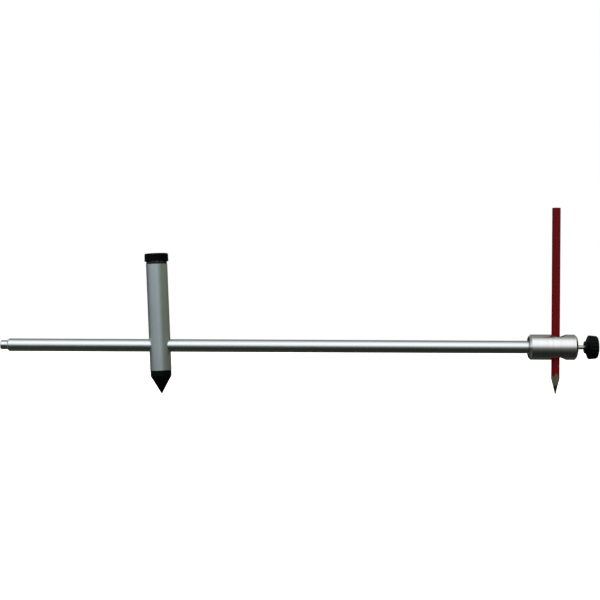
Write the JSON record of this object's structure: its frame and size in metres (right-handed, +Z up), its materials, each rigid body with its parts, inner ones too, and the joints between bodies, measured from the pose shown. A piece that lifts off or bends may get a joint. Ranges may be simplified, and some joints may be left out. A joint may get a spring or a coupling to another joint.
{
  "type": "beam compass",
  "caption": "Beam compass: a round tube beam with a conical pivot post that slides, swivels and clamps on it, and a turned head that clamps an upright pencil with a thumb screw.",
  "frame": {"origin": "the tip of the pivot post's conical point", "axes": "+X along the beam from the post towards the pencil, +Z up along the pencil, +Y away from the picture's camera"},
  "size_m": [0.5626, 0.024, 0.1767],
  "materials": {
    "satin_tube": "satin anodised tube",
    "matt_tube": "matt anodised tube",
    "turned_aluminium": "bright turned",
    "turned_head": "turned, with fine rings",
    "black_steel": "black oxide",
    "plated_steel": "bright zinc plated",
    "brass": "turned",
    "black_plastic": "moulded, fine grain",
    "black_cap": "moulded, fine grain",
    "black_point": "turned black plastic",
    "grey_plastic": "turned dark grey plastic",
    "liner_plastic": "slippery nylon",
    "lacquered_wood": "dark red lacquer over cedar",
    "graphite": "graphite"
  },
  "bodies": {
    "beam": {"beam_tube": "satin_tube", "joining_spigot": "turned_aluminium", "head_spigot": "turned_aluminium", "pencil_head": "turned_head", "set_screw": "black_steel"},
    "slider": {"beam_liner": "liner_plastic"},
    "post": {"post_tube": "matt_tube", "pivot_point": "black_point", "post_plug": "grey_plastic", "thrust_washer": "plated_steel"},
    "post_knob": {"clamp_knob": "black_cap", "knob_insert": "brass"},
    "draw_bolt": {"draw_rod": "plated_steel", "eye_block": "turned_aluminium", "lock_nut": "plated_steel"},
    "pencil": {"pencil_casing": "lacquered_wood", "pencil_lead": "graphite"},
    "foot": {"pressure_foot": "brass"},
    "screw": {"thumb_screw": "plated_steel", "thumb_knob": "black_plastic"}
  },
  "joints": [
    {"name": "post_slide", "type": "slide", "parent": "beam", "child": "slider", "axis": [1, 0, 0], "range_m": [-0.128, 0.335]},
    {"name": "post_swivel", "type": "hinge", "parent": "slider", "child": "post", "pos_m": [-0.00206, 0, 0.04545], "axis": [1, 0, 0], "continuous": true},
    {"name": "clamp_turn", "type": "hinge", "parent": "post", "child": "post_knob", "pos_m": [-0.00566, 0, 0.12457], "axis": [-0.0454, 0, 0.999], "range_deg": [0, 145]},
    {"name": "draw_slide", "type": "slide", "parent": "post", "child": "draw_bolt", "axis": [-0.0454, 0, 0.999], "range_m": [-0.0004, 0]},
    {"name": "pencil_slide", "type": "slide", "parent": "beam", "child": "pencil", "axis": [0, 0, 1], "range_m": [-0.115, 0.026]},
    {"name": "foot_slide", "type": "slide", "parent": "beam", "child": "foot", "axis": [1, 0, 0], "range_m": [0, 0.00282]},
    {"name": "screw_turn", "type": "hinge", "parent": "foot", "child": "screw", "pos_m": [0.39684, 0, 0.04545], "axis": [1, 0, 0], "range_deg": [0, 1440]}
  ],
  "couplings": [
    {"joint": "clamp_turn", "follows": "draw_slide", "rad_per_m": -6283.2},
    {"joint": "foot_slide", "follows": "screw_turn", "m_per_rad": 0.00011141}
  ]
}
